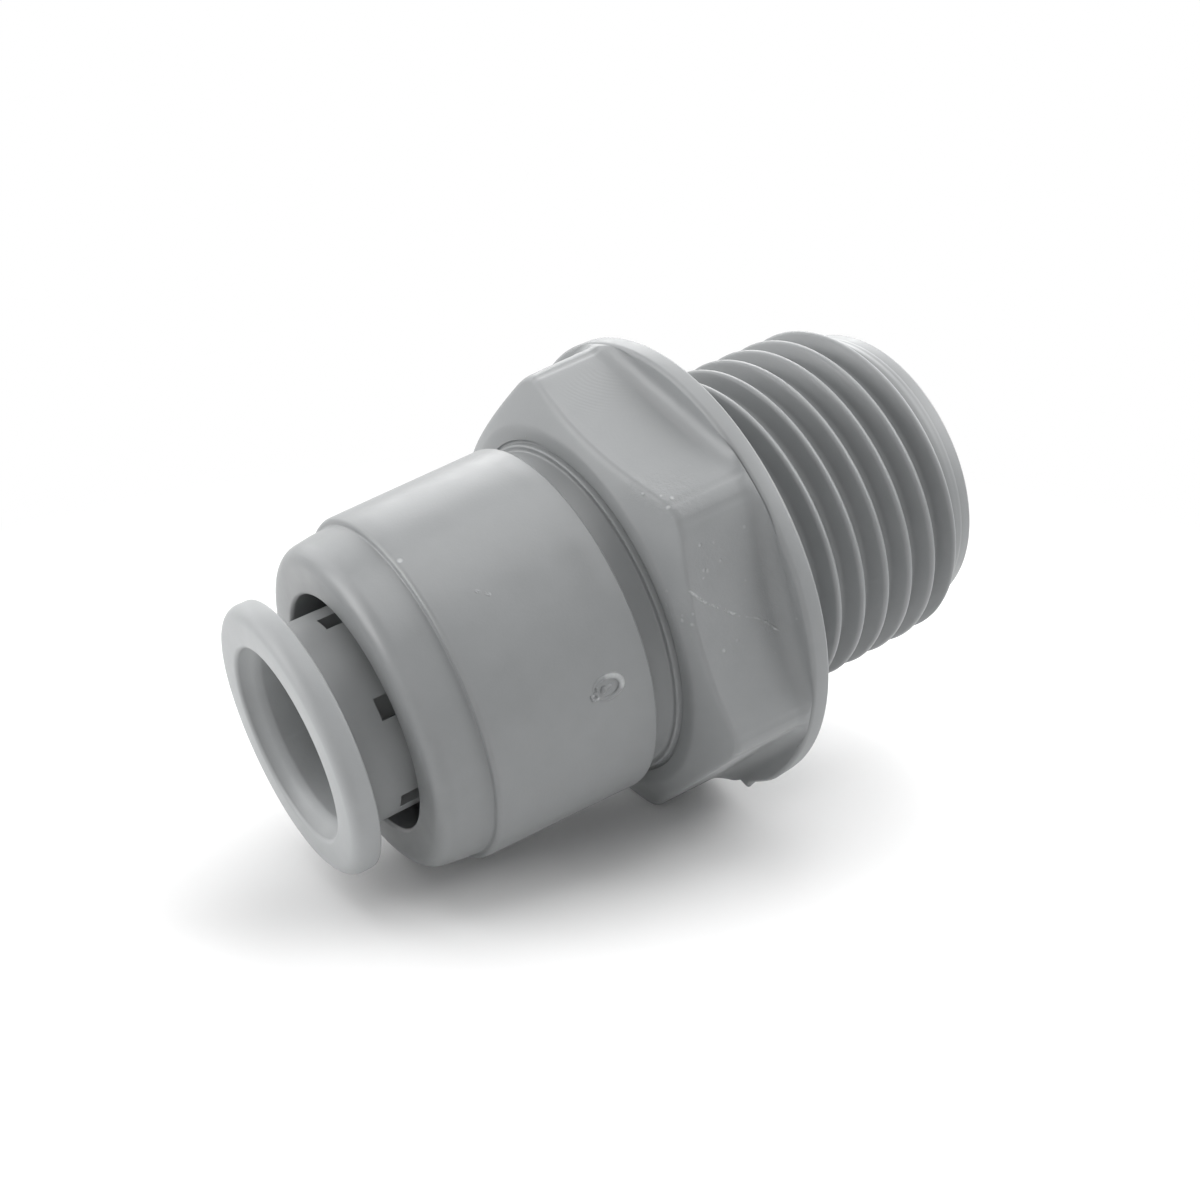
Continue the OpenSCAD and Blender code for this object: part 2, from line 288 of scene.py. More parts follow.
def line_mask(tree, place, start, end, width, wander):
    """1 on a line between two points on the part, 0 away from it; the line wanders like a scratch."""
    a, b = Vector(start) * MM, Vector(end) * MM
    along = (b - a).normalized()
    # The place is moved about by a pattern of 1.3 mm before its distance from the line is taken
    bend = add_node(tree, "ShaderNodeTexNoise", {
        "Vector": place, "Scale": per_mm(1.3), "Detail": 3.0, "Roughness": 0.6})
    bend = add_node(tree, "ShaderNodeVectorMath", {
        0: bend.outputs["Color"], 1: (0.5, 0.5, 0.5)}, operation="SUBTRACT")
    bend = add_node(tree, "ShaderNodeVectorMath", {
        0: bend.outputs["Vector"], "Scale": wander * MM}, operation="SCALE")
    moved = add_node(tree, "ShaderNodeVectorMath", {
        0: place, 1: bend.outputs["Vector"]}, operation="ADD")
    from_start = add_node(tree, "ShaderNodeVectorMath", {
        0: moved.outputs["Vector"], 1: a}, operation="SUBTRACT").outputs["Vector"]
    share = add_node(tree, "ShaderNodeVectorMath", {0: from_start, 1: along}, operation="DOT_PRODUCT")
    share = add_node(tree, "ShaderNodeClamp", {
        "Value": share.outputs["Value"], "Min": 0.0, "Max": (b - a).length})
    foot = add_node(tree, "ShaderNodeVectorMath", {
        0: tuple(along), "Scale": share.outputs["Result"]}, operation="SCALE")
    away = add_node(tree, "ShaderNodeVectorMath", {
        0: from_start, 1: foot.outputs["Vector"]}, operation="DISTANCE")
    return add_node(tree, "ShaderNodeMapRange", {
        "Value": away.outputs["Value"], "From Min": 0.2 * width * MM, "From Max": width * MM,
        "To Min": 1.0, "To Max": 0.0,
    }, interpolation_type="SMOOTHSTEP").outputs["Result"]


def anywhere(tree, *masks):
    """1 where one of several masks is 1."""
    result = masks[0]
    for mask in masks[1:]:
        result = add_node(tree, "ShaderNodeMath", {0: result, 1: mask}, operation="MAXIMUM").outputs["Value"]
    return result


def everywhere(tree, *masks):
    """1 where all of several masks are 1."""
    result = masks[0]
    for mask in masks[1:]:
        result = add_node(tree, "ShaderNodeMath", {0: result, 1: mask}, operation="MULTIPLY").outputs["Value"]
    return result


def mark_skin(tree, tint, relief, mask, strength, height, code=SCRATCHED):
    """Marks the skin of a plastic where a mask is 1: paler, and raised or sunk by some millimetres."""
    tint = add_node(tree, "ShaderNodeMix", {
        0: everywhere(tree, mask, strength), 6: tint, 7: (*linear(code), 1.0)}, data_type="RGBA")
    relief = add_node(tree, "ShaderNodeBump", {
        "Height": mask, "Distance": abs(height) * MM, "Strength": 1.0, "Normal": relief}, invert=height < 0)
    return tint.outputs[2], relief.outputs["Normal"]


def rub_skin(tree, place, tint, relief, spots):
    """Pale nicks up to 0.3 mm wide on a roughened skin, only in the spots that tools or fingers rubbed."""
    where = anywhere(tree, *[spot_mask(tree, place, *spot) for spot in spots])
    rough = add_node(tree, "ShaderNodeTexNoise", {
        "Vector": place, "Scale": per_mm(0.4), "Detail": 5.0, "Roughness": 0.75}).outputs["Fac"]
    relief = add_node(tree, "ShaderNodeBump", {
        "Height": everywhere(tree, rough, where), "Distance": 0.05 * MM, "Strength": 1.0,
        "Normal": relief}).outputs["Normal"]
    # Nicks sit at the middles of cells of 0.75 mm, in patches of about 1.1 mm
    cells = add_node(tree, "ShaderNodeTexVoronoi", {
        "Vector": place, "Scale": per_mm(0.75), "Randomness": 1.0}).outputs["Distance"]
    nick = add_node(tree, "ShaderNodeMapRange", {
        "Value": cells, "From Min": 0.06, "From Max": 0.2, "To Min": 1.0, "To Max": 0.0}).outputs["Result"]
    patch = add_node(tree, "ShaderNodeTexNoise", {
        "Vector": place, "Scale": per_mm(1.1), "Detail": 2.0}).outputs["Fac"]
    patch = add_node(tree, "ShaderNodeMapRange", {
        "Value": patch, "From Min": 0.5, "From Max": 0.62}).outputs["Result"]
    return mark_skin(tree, tint, relief, everywhere(tree, nick, patch, where), 0.45, 0.04, NICKED)


def flow_rings(tree, place, relief, middle, patch, radius):
    """Faint rings 0.27 mm apart round the middle of a flow front, seen inside a round patch."""
    moved = add_node(tree, "ShaderNodeVectorMath", {
        0: place, 1: Vector(middle) * MM}, operation="SUBTRACT").outputs["Vector"]
    rings = add_node(tree, "ShaderNodeTexWave", {
        "Vector": moved, "Scale": WAVE * per_mm(0.27), "Distortion": 6.0, "Detail": 2.0,
        "Detail Scale": 0.3}, wave_type="RINGS", rings_direction="SPHERICAL").outputs["Fac"]
    inside = spot_mask(tree, place, patch, 0.5 * radius, 0.5 * radius)
    return add_node(tree, "ShaderNodeBump", {
        "Height": everywhere(tree, rings, inside), "Distance": 0.003 * MM, "Strength": 1.0,
        "Normal": relief}).outputs["Normal"]


def moulded_plastic(name, base, roughness, wear=(), lines=(), pits=(), flow=()):
    """Grey acetal copolymer, injection moulded against a fine spark-eroded tool: a satin skin with a
    slightly uneven gloss, faint clouding of the pigment and, where it was handled, pale scuffs."""
    tree, place = new_material(name)
    # Pigment clouds of about 6 mm and a finer mottle of 1.5 mm, both very weak
    clouds = add_node(tree, "ShaderNodeTexNoise", {
        "Vector": place, "Scale": per_mm(6.0), "Detail": 2.0, "Roughness": 0.5}).outputs["Fac"]
    mottle = add_node(tree, "ShaderNodeTexNoise", {
        "Vector": place, "Scale": per_mm(1.5), "Detail": 4.0, "Roughness": 0.6}).outputs["Fac"]
    both = add_node(tree, "ShaderNodeMath", {0: clouds, 1: mottle}, operation="ADD").outputs["Value"]
    shade = add_node(tree, "ShaderNodeMapRange", {
        "Value": both, "From Min": 0.7, "From Max": 1.3, "To Min": 0.97, "To Max": 1.03}).outputs["Result"]
    tint = add_node(tree, "ShaderNodeVectorMath", {
        0: base, "Scale": shade}, operation="SCALE").outputs["Vector"]
    gloss = add_node(tree, "ShaderNodeMapRange", {
        "Value": mottle, "From Min": 0.3, "From Max": 0.7,
        "To Min": roughness - 0.04, "To Max": roughness + 0.06}).outputs["Result"]
    # Flow and shrinkage waves of about 4 mm
    waves = add_node(tree, "ShaderNodeTexNoise", {
        "Vector": place, "Scale": per_mm(4.0), "Detail": 1.0, "Roughness": 0.4}).outputs["Fac"]
    relief = add_node(tree, "ShaderNodeBump", {
        "Height": waves, "Distance": 0.03 * MM, "Strength": 1.0}).outputs["Normal"]
    # Tool grain of about 0.15 mm
    grain = add_node(tree, "ShaderNodeTexNoise", {
        "Vector": place, "Scale": per_mm(0.15), "Detail": 2.0, "Roughness": 0.5}).outputs["Fac"]
    relief = add_node(tree, "ShaderNodeBump", {
        "Height": grain, "Distance": 0.004 * MM, "Strength": 1.0, "Normal": relief}).outputs["Normal"]
    if wear:
        tint, relief = rub_skin(tree, place, tint, relief, wear)
    for middle, patch, radius in flow:
        relief = flow_rings(tree, place, relief, middle, patch, radius)
    # Raised lines and scratches are broken here and there by a pattern of 0.6 mm
    broken = add_node(tree, "ShaderNodeTexNoise", {
        "Vector": place, "Scale": per_mm(0.6), "Detail": 3.0, "Roughness": 0.7}).outputs["Fac"]
    broken = add_node(tree, "ShaderNodeMapRange", {
        "Value": broken, "From Min": 0.42, "From Max": 0.58}).outputs["Result"]
    for start, end, width, wander, height, strength in lines:
        mask = everywhere(tree, line_mask(tree, place, start, end, width, wander), broken)
        tint, relief = mark_skin(tree, tint, relief, mask, strength, height)
    # Small pale pits; one without depth is only a pale spot, such as a speck or a dot of painted highlight
    for centre, radius, depth, strength in pits:
        mask = spot_mask(tree, place, centre, 0.3 * radius, 0.7 * radius)
        tint, relief = mark_skin(tree, tint, relief, mask, strength, -depth)
    shader = add_node(tree, "ShaderNodeBsdfPrincipled", {
        "Base Color": tint, "Roughness": gloss, "Normal": relief, "IOR": 1.48})
    finish_material(tree, shader.outputs["BSDF"])


def nitrile_rubber(name, base):
    """Nitrile rubber, compression moulded: near black and dull, with a faint bloom."""
    tree, place = new_material(name)
    bloom = add_node(tree, "ShaderNodeTexNoise", {
        "Vector": place, "Scale": per_mm(0.8), "Detail": 3.0}).outputs["Fac"]
    tint = add_node(tree, "ShaderNodeMix", {
        0: everywhere(tree, bloom, 0.35), 6: (*base, 1.0), 7: (*linear("#3c3c3e"), 1.0)}, data_type="RGBA")
    relief = add_node(tree, "ShaderNodeBump", {"Height": bloom, "Distance": 0.01 * MM, "Strength": 1.0})
    shader = add_node(tree, "ShaderNodeBsdfPrincipled", {
        "Base Color": tint.outputs[2], "Roughness": 0.62, "Normal": relief.outputs["Normal"], "IOR": 1.52})
    finish_material(tree, shader.outputs["BSDF"])


def natural_acetal(name, base):
    """Natural acetal, injection moulded: milky white, a little waxy."""
    tree, place = new_material(name)
    milk = add_node(tree, "ShaderNodeTexNoise", {
        "Vector": place, "Scale": per_mm(2.0), "Detail": 2.0}).outputs["Fac"]
    tint = add_node(tree, "ShaderNodeMix", {
        0: everywhere(tree, milk, 0.3), 6: (*base, 1.0), 7: (*linear("#f0efe8"), 1.0)}, data_type="RGBA")
    relief = add_node(tree, "ShaderNodeBump", {"Height": milk, "Distance": 0.01 * MM, "Strength": 1.0})
    shader = add_node(tree, "ShaderNodeBsdfPrincipled", {
        "Base Color": tint.outputs[2], "Roughness": 0.38, "Normal": relief.outputs["Normal"], "IOR": 1.48})
    finish_material(tree, shader.outputs["BSDF"])


def stainless_strip(name, base):
    """Cold rolled stainless spring strip, stamped: bright, with fine rolling lines."""
    tree, place = new_material(name)
    stretched = add_node(tree, "ShaderNodeMapping", {"Vector": place, "Scale": (1.0, 1.0, 12.0)})
    # Rolling lines: a pattern of 0.5 mm, drawn together twelve times across them, to about 0.04 mm
    lines = add_node(tree, "ShaderNodeTexNoise", {
        "Vector": stretched.outputs["Vector"], "Scale": per_mm(0.5), "Detail": 2.0}).outputs["Fac"]
    gloss = add_node(tree, "ShaderNodeMapRange", {"Value": lines, "To Min": 0.22, "To Max": 0.42})
    relief = add_node(tree, "ShaderNodeBump", {"Height": lines, "Distance": 0.003 * MM, "Strength": 1.0})
    shader = add_node(tree, "ShaderNodeBsdfPrincipled", {
        "Base Color": (*base, 1.0), "Metallic": 1.0, "Roughness": gloss.outputs["Result"],
        "Normal": relief.outputs["Normal"]})
    finish_material(tree, shader.outputs["BSDF"])


# Pieces

class ADAPTER_OT_materials(bpy.types.Operator):
    """Makes the finishes of all the pieces"""
    bl_idname = "adapter.materials"
    bl_label = "Finishes"

    def execute(self, context):
        tints = context.scene.adapter_colours
        front_y = -12.3
        # Front flat of the hexagon, which a spanner or fingers rubbed, and the worn corner above it
        handled = [((1.2, front_y, 19.5), 2.6, 2.4)]
        handled += [((7.9, -11.0, 20.6), 0.9, 1.4), ((8.5, -9.9, 22.4), 0.4, 1.0)]
        # Ragged scratch down the front flat
        bends = ((3.15, 22.3), (1.81, 21.37), (0.58, 19.74), (-0.68, 18.06), (-1.61, 17.15))
        lines = [((x0, front_y, z0), (x1, front_y, z1), 0.12, 0.45, 0.05, 0.42)
                 for (x0, z0), (x1, z1) in zip(bends, bends[1:])]
        # Parting line across the chamfer, at the corner on the X axis
        lines += [((13.5, 0.0, 21.65), (10.7, 0.0, 22.72), 0.09, 0.04, 0.05, 0.2)]
        pits = [((x, front_y, z), 0.13, 0.03, 0.15) for x, z in (
            (3.7, 19.8), (3.57, 20.9), (0.98, 17.77), (-0.88, 20.04), (2.04, 18.62), (4.94, 20.75))]
        # Faint rings where the melt met, on the upper flat in the photograph
        flow = [((12.6, -1.2, 16.2), (12.3, -3.4, 19.2), 2.6), ((9.4, -7.2, 17.4), (10.8, -6.0, 19.8), 1.8)]
        moulded_plastic("grey acetal, moulded body", tuple(tints.body), 0.4, handled, lines, pits, flow)
        # Rough middle of the gate mark, a comma-shaped scuff and a pale speck
        gate = [((-0.75, -10.58, 27.5), 0.55, 0.35)]
        scuff = [((6.0, -8.6, 31.4), (6.35, -8.35, 31.9), 0.14, 0.1, 0.03, 0.1)]
        specks_and_highlight = [((8.7, -5.69, 34.37), 0.22, 0.03, 0.4)]
        # Pale specks paint a crescent of highlight on the gate mark's end towards the hexagon; two real
        # specks sit at its other end
        crescent = ((-0.95, 26.56), (-0.78, 26.52), (-0.6, 26.55), (-0.42, 26.65), (-0.27, 26.8),
                    (-0.2, 27.0), (-0.16, 27.25))
        specks_and_highlight += [((x, -10.65, z), 0.26, 0.0, 0.34) for x, z in crescent]
        specks_and_highlight += [((-1.1, -10.56, 28.1), 0.14, 0.0, 0.45), ((-0.85, -10.58, 28.3), 0.12, 0.0, 0.45)]
        moulded_plastic("grey acetal, moulded cap", tuple(tints.cap), 0.34, gate, scuff, specks_and_highlight)
        moulded_plastic("grey acetal, moulded collet", tuple(tints.collet), 0.42)
        nitrile_rubber("nitrile rubber, moulded", tuple(tints.rubber))
        natural_acetal("natural acetal, moulded", tuple(tints.natural))
        stainless_strip("stainless strip, stamped", tuple(tints.steel))
        return {"FINISHED"}


def closer_at_corners(piece):
    """Draws the columns of vertices together towards the hexagon's corners, along their circles."""
    share = 0.75
    for v in piece.data.vertices:
        r = math.hypot(v.co.x, v.co.y)
        a = math.atan2(v.co.y, v.co.x)
        a -= share * math.sin(6 * a) / 6
        v.co.x, v.co.y = r * math.cos(a), r * math.sin(a)


def hexagon_reach(a, flat, corner):
    """Distance from the axis to a round-cornered hexagon with corners on the X axis, in one direction."""
    half_side = math.pi / 6
    # Angles from the nearest corner and from the middle of the flat beside it
    off_corner = abs((a + half_side) % (2 * half_side) - half_side)
    off_flat = half_side - off_corner
    centre = (flat - corner) / math.cos(half_side)
    across = centre * math.sin(off_corner)
    if across > corner:
        return flat / math.cos(off_flat)
    round_r = centre * math.cos(off_corner) + math.sqrt(corner * corner - across * across)
    return min(round_r, flat / math.cos(off_flat))


def rim_burr(degrees):
    """Height in millimetres of the burr on the flange's rim: a torn tooth, a notch and a raised stretch."""
    tooth = 0.4 * bell(degrees, 193.4, 1.3)
    notch = 0.14 * bell(degrees, 190, 2)
    raised = 0.12 * bell(degrees, 204, 7) * (0.8 + 0.2 * math.sin(2.1 * degrees))
    return tooth - notch + raised


def corner_flash(degrees, z):
    """Height in millimetres of the mould's ragged flash, which runs up the hexagon's corner at +X."""
    ragged = 0.7 + 0.2 * math.sin(5.3 * z) + 0.1 * math.sin(13.1 * z + 1.0)
    return 0.06 * ragged * bell(degrees, 0, 1.5)


class ADAPTER_OT_body(bpy.types.Operator):
    """Body moulding: flange, hexagon with its chamfer and hollow fillets, neck, barrel and bores"""
    bl_idname = "adapter.body"
    bl_label = "Body"

    def execute(self, context):
        s = sizes()
        crest_r = s["thread_d"] / 2
        root_r = crest_r - s["thread_depth"]
        flange_z = s["spigot_l"]
        hex_z = flange_z + s["flange_t"]
        top_z = hex_z + s["hex_h"]
        rim_r = s["flange_d"] / 2
        neck_r = s["neck_d"] / 2
        cap_z = s["cap_z"]
        root = s["hex_root"]

        # Spigot: a plain tip, and a core that stays inside the thread's sleeve
        tip_r, tip_l = root_r - 0.06, 1.0
        core_r = root_r - 0.3
        bore_r, bore_z = 6.0, 12.2
        profile = [(bore_r + 0.05, 0.0), (tip_r - 0.14, 0.0), (tip_r - 0.06, 0.03), (tip_r, 0.15)]
        profile += [(tip_r, tip_l), (core_r, tip_l + 0.2), (core_r, flange_z - 0.3), (core_r, flange_z)]

        # Flange, with its rim rounded below and above
        low_round, high_round = 0.2, 0.3
        profile += [(crest_r + 0.6, flange_z), (rim_r - 0.3, flange_z)]
        profile += arc((rim_r - low_round, flange_z + low_round), low_round, -80, 0, 5)
        profile += arc((rim_r - high_round, hex_z - high_round), high_round, 0, 80, 6)

        # Hexagon, still round: rows of vertices up its side, close together in the fillet at its foot
        side_r = rim_r - high_round
        lip_r = neck_r + 0.35
        groove_r = lip_r + 0.25
        # The chamfer ends at a narrow flat ring round the groove
        ring_r, ring_z = groove_r + 0.75, top_z - 0.02
        chamfer = 25
        slope = math.tan(math.radians(chamfer))
        side_z = top_z - (side_r - ring_r) * slope
        fillet_rows, side_rows, bend_rows, chamfer_rows = 10, 8, 6, 26
        for i in range(fillet_rows + 1):
            profile.append((side_r, hex_z + root * (1 - math.cos(math.radians(90 * i / fillet_rows)))))
        # Soft change from the upright corner to the chamfer, which touches both this far from their edge
        bend = 0.3
        bend_r = bend / math.tan(math.radians((90 - chamfer) / 2))
        profile += straight((side_r, hex_z + root), (side_r, side_z - bend - 0.05), side_rows)
        profile += arc((side_r - bend_r, side_z - bend), bend_r, 0, 90 - chamfer, bend_rows)
        profile += straight(profile[-1], (ring_r + 0.2, top_z - 0.2 * slope), chamfer_rows)
        profile += [(ring_r + 0.1, ring_z - 0.04), (ring_r - 0.05, ring_z - 0.01)]
        profile += [(ring_r - 0.3, ring_z), (groove_r, ring_z)]

        # Groove and moulded lip round the neck
        lip_round, neck_fillet = 0.13, 0.14
        profile += [(groove_r - 0.06, top_z - 0.1), (groove_r - 0.14, top_z - 0.13)]
        profile += [(lip_r + 0.03, top_z - 0.1)]
        profile += arc((lip_r - lip_round, top_z + lip_round), lip_round, 0, 90, 4)
        lip_z = top_z + 2 * lip_round
        profile += arc((neck_r + neck_fillet, lip_z + neck_fillet), neck_fillet, 270, 180, 3)
        profile += [(neck_r, cap_z - 0.4), (neck_r, cap_z)]

        # Barrel, gland for the seals, tube socket with its stop, waterway and the spigot's bore
        barrel_r, barrel_z = 9.0, 27.2
        gland_r, gland_z = 6.65, 22.2
        socket_r, stop_z = 4.9, 18.2
        water_r, water_z = 3.75, 14.0
        profile += [(barrel_r, cap_z), (barrel_r, barrel_z - 0.1), (barrel_r - 0.1, barrel_z)]
        profile += [(gland_r + 0.1, barrel_z), (gland_r, barrel_z - 0.1)]
        profile += [(gland_r, gland_z + 0.1), (gland_r - 0.05, gland_z)]
        profile += [(socket_r + 0.15, gland_z), (socket_r, gland_z - 0.15)]
        profile += [(socket_r, stop_z + 0.05), (socket_r - 0.05, stop_z)]
        profile += [(water_r + 0.2, stop_z), (water_r, stop_z - 0.2)]
        profile += [(water_r, water_z + 0.3), (water_r + 0.15, water_z)]
        profile += [(bore_r - 0.1, bore_z), (bore_r, bore_z - 0.3), (bore_r, 0.15)]
        piece = turn("body_moulding", profile, 240)
        closer_at_corners(piece)

        # The six flats are pressed in, with the hollow fillet at their foot
        corner_lean, flat_lean, edge_softness = 0.25, 0.12, 0.42
        for v in piece.data.vertices:
            r, z = math.hypot(v.co.x, v.co.y) / MM, v.co.z / MM
            a = math.atan2(v.co.y, v.co.x)
            if r > rim_r - 0.26 and z < hex_z - 0.001:
                # The burr is full on the rim's upper edge and about a third as high below it
                share = 1.0 if z > flange_z + 0.8 else 0.35
                to_radius(v, r, r + share * rim_burr(math.degrees(a) % 360))
            if not (hex_z - 0.001 <= z <= top_z and r > groove_r - 0.05):
                continue
            flat = s["hex_af"] / 2
            h = z - hex_z
            if h < root:
                flat += root - math.sqrt(max(root ** 2 - (root - h) ** 2, 0.0))
            reach = hexagon_reach(a, flat, s["hex_corner"])
            # The upright corners lean out a little towards the flange
            out = max(side_z - z, 0.0) / (side_z - hex_z)
            new_r = least(r + corner_lean * out, reach + flat_lean * out, edge_softness)
            # The flash starts at the flange and ends where the chamfer starts
            new_r += corner_flash(math.degrees(a), z) * min(out * 2.2, 1.0) * min(h / 0.9, 1.0)
            to_radius(v, r, new_r)
        soft_edges(piece, 50)
        dress(piece, "fitting", "moulded_body", bpy.data.materials["grey acetal, moulded body"], "body")
        return {"FINISHED"}


class ADAPTER_OT_thread(bpy.types.Operator):
    """Thread of the spigot: one turn's profile, screwed up the core with round crests and roots"""
    bl_idname = "adapter.thread"
    bl_label = "Thread"

    def execute(self, context):
        s = sizes()
        pitch = s["thread_pitch"]
        crest_r = s["thread_d"] / 2
        root_r = crest_r - s["thread_depth"]
        flange_z = s["spigot_l"]
        low_z, high_z = 0.55, flange_z + 0.1
        # Profile of one pitch, from root to root: round roots, straight flanks and a narrow round crest
        half_angle, crest_round, root_round = 27, 0.27, 0.45
        crest = arc((crest_r - crest_round, 0.0), crest_round, half_angle - 90, 90 - half_angle, 8)
        top = crest[-1]
        flank_foot = top[1] + (top[0] - root_r) * math.tan(math.radians(half_angle))
        # The round root touches the flank and the floor of the groove
        tangent = root_round * math.tan(math.radians((90 - half_angle) / 2))
        root = arc((root_r + root_round, flank_foot + tangent), root_round, 270 - half_angle, 180, 6)
        side = [top] + straight(top, root[0], 4)[:-1]
        side += [point for point in root if point[1] < pitch / 2 - 0.01] + [(root_r, pitch / 2)]
        profile = [(r, pitch / 2 - z) for r, z in reversed(side)]
        profile += [(r, pitch / 2 + z) for r, z in crest[1:-1] + side]
        # Phase from the photograph: a crest passes the +X side at this height
        crest_z = 13.749
        first_z = crest_z - 10.5 * pitch
        piece = draw_profile("body_thread", [(r, z + first_z) for r, z in profile])
        bpy.ops.object.mode_set(mode="OBJECT")
        screw = piece.modifiers.new("screw", "SCREW")
        screw.axis = "Z"
        screw.steps = screw.render_steps = 96
        screw.iterations = int((high_z - first_z) / pitch) + 2
        screw.screw_offset = pitch * MM
        screw.use_merge_vertices = False
        screw.use_normal_calculate = True
        apply_modifiers(piece)
        bpy.ops.object.mode_set(mode="EDIT")
        bpy.ops.mesh.select_all(action="SELECT")
        bpy.ops.mesh.remove_doubles(threshold=5e-6)
        # Trimmed at both ends, give or take the operator's tolerance of 0.1 mm. Both cuts are hidden, the
        # low one under the tip's surface and the high one in the flange.
        for z, upper in ((low_z, False), (high_z, True)):
            bpy.ops.mesh.select_all(action="SELECT")
            bpy.ops.mesh.bisect(
                plane_co=(0, 0, z * MM), plane_no=(0, 0, 1),
                clear_outer=upper, clear_inner=not upper, use_fill=False,
            )
        bpy.ops.object.mode_set(mode="OBJECT")
        # The ridge grows out of the plain tip and dies away at the relief under the flange
        tip_z, run_in = 1.0, 1.5
        relief_z, run_out = flange_z - 0.9, 0.6
        # The low end tapers in, to below the plain tip's surface, and a hollow fillet leads out to the flange
        taper_depth, taper_l, fillet = 0.12, 0.35, 0.3
        for v in piece.data.vertices:
            r, z = math.hypot(v.co.x, v.co.y) / MM, v.co.z / MM
            keep = min(eased((z - tip_z) / run_in), eased((relief_z - z) / run_out))
            new_r = root_r + (r - root_r) * keep
            new_r -= taper_depth * (1 - min((z - low_z) / taper_l, 1.0))
            up_fillet = min(max(z - (flange_z - fillet), 0.0), fillet)
            new_r += fillet - math.sqrt(fillet ** 2 - up_fillet ** 2)
            to_radius(v, r, new_r)
        # Closed inwards, so that the thread is a solid sleeve
        sleeve_t = 0.6
        inner = (root_r - sleeve_t) / root_r
        bpy.ops.object.mode_set(mode="EDIT")
        bpy.ops.mesh.select_all(action="DESELECT")
        bpy.ops.mesh.select_mode(type="EDGE")
        bpy.ops.mesh.select_non_manifold(
            extend=False, use_wire=False, use_multi_face=False, use_non_contiguous=False, use_verts=False)
        bpy.ops.mesh.extrude_edges_move()
        bpy.ops.transform.resize(value=(inner, inner, 1.0), center_override=(0, 0, 0))
        bpy.ops.mesh.bridge_edge_loops()
        bpy.ops.mesh.select_all(action="SELECT")
        bpy.ops.mesh.normals_make_consistent(inside=False)
        bpy.ops.mesh.select_mode(type="VERT")
        bpy.ops.object.mode_set(mode="OBJECT")
        soft_edges(piece, 60)
        dress(piece, "fitting", "moulded_body", bpy.data.materials["grey acetal, moulded body"])
        return {"FINISHED"}


def gate_mark(draft):
    """Parts of the gate mark near the cap's open end, towards the camera: a crescent and torn plastic."""
    a, r, z = math.radians(-94), 10.57, 27.4
    around = Vector((-math.sin(a), math.cos(a), 0))
    centre = Vector((r * math.cos(a), r * math.sin(a), z))
    # The ring leans by more than the sleeve's draft, so that its end towards the nose sinks in
    sink = 4
    bpy.ops.mesh.primitive_torus_add(
        major_radius=0.5 * MM, minor_radius=0.11 * MM, major_segments=48, minor_segments=12,
        location=centre * MM, rotation=(0, math.radians(90 - draft - sink), a))
    bpy.context.object.scale = (1.75, 1.2, 1.0)
    parts = [bpy.context.object]
    # Lumps of torn plastic: place across the mark and along the axis, and radius
    lumps = ((-0.06, 0.32, 0.25), (0.0, 0.0, 0.25), (-0.22, 0.7, 0.17), (-0.02, 0.8, 0.15),
             (-0.36, 0.92, 0.13), (0.14, 0.62, 0.14), (-0.16, 1.02, 0.12))
    for across, along, radius in lumps:
        place = centre + around * across + Vector((0, 0, along))
        bpy.ops.mesh.primitive_ico_sphere_add(
            subdivisions=2, radius=radius * MM, location=place * MM, rotation=(across * 9, along * 7, a))
        bpy.context.object.scale = (0.55, 0.8, 1.3)
        parts.append(bpy.context.object)
    return parts


class ADAPTER_OT_cap(bpy.types.Operator):
    """Cap: drafted sleeve, step, nose with its round front edge, mouth and grip cone"""
    bl_idname = "adapter.cap"
    bl_label = "Cap"

    def execute(self, context):
        s = sizes()
        # The cap stands just clear of the body's shoulder
        low_z = s["cap_z"] + 0.01
        step_z = s["cap_z"] + s["sleeve_l"]
        face_z = step_z + s["nose_l"]
        # Draft of the sleeve and of the nose, in degrees, and the width of the step between them
        draft, nose_draft, step_w = 1.8, 4, 0.43
        sleeve_r = s["sleeve_d"] / 2
        step_r = sleeve_r - s["sleeve_l"] * math.tan(math.radians(draft))
        nose_r = step_r - step_w
        front_r = nose_r - s["nose_l"] * math.tan(math.radians(nose_draft))
        mouth_r = s["mouth_d"] / 2
        # Bore on the barrel with its end wall, and the chamber round the collet's fingers
        bore_r, bore_z = 9.05, 28.21
        chamber_r = 7.9
        profile = [(bore_r, low_z + 0.1), (bore_r + 0.1, low_z)]
        # Outside, from the open end to the face; each arc is one rounded edge or fillet
        end_round, step_round, step_fillet, front_round, mouth_round = 0.15, 0.3, 0.1, 1.1, 0.25
        profile += arc((sleeve_r - end_round, low_z + end_round), end_round, -90, 0, 4)
        profile += straight((sleeve_r, low_z), (step_r, step_z), 8)[:-1]
        profile += arc((step_r - step_round, step_z - step_round), step_round, draft, 90, 7)
        profile += arc((nose_r + step_fillet, step_z + step_fillet), step_fillet, 270, 180 + nose_draft, 3)
        profile += [(nose_r - 0.07, step_z + 1.0)]
        profile += arc((front_r - front_round, face_z - front_round), front_round, nose_draft, 90, 12)
        profile += arc((mouth_r + mouth_round, face_z - mouth_round), mouth_round, 90, 180, 5)
        # Inside: mouth, grip cone and chamber
        profile += [(mouth_r, face_z - 1.4), (mouth_r + 0.05, face_z - 1.6), (chamber_r - 0.05, face_z - 4.4)]
        profile += [(chamber_r, face_z - 4.6), (chamber_r, bore_z + 0.09), (chamber_r + 0.1, bore_z)]
        profile += [(bore_r, bore_z)]
        piece = turn("cap_moulding", profile, 192)
        join(piece, gate_mark(draft))
        soft_edges(piece, 45)
        dress(piece, "fitting", "moulded_cap", bpy.data.materials["grey acetal, moulded cap"], "cap")
        return {"FINISHED"}


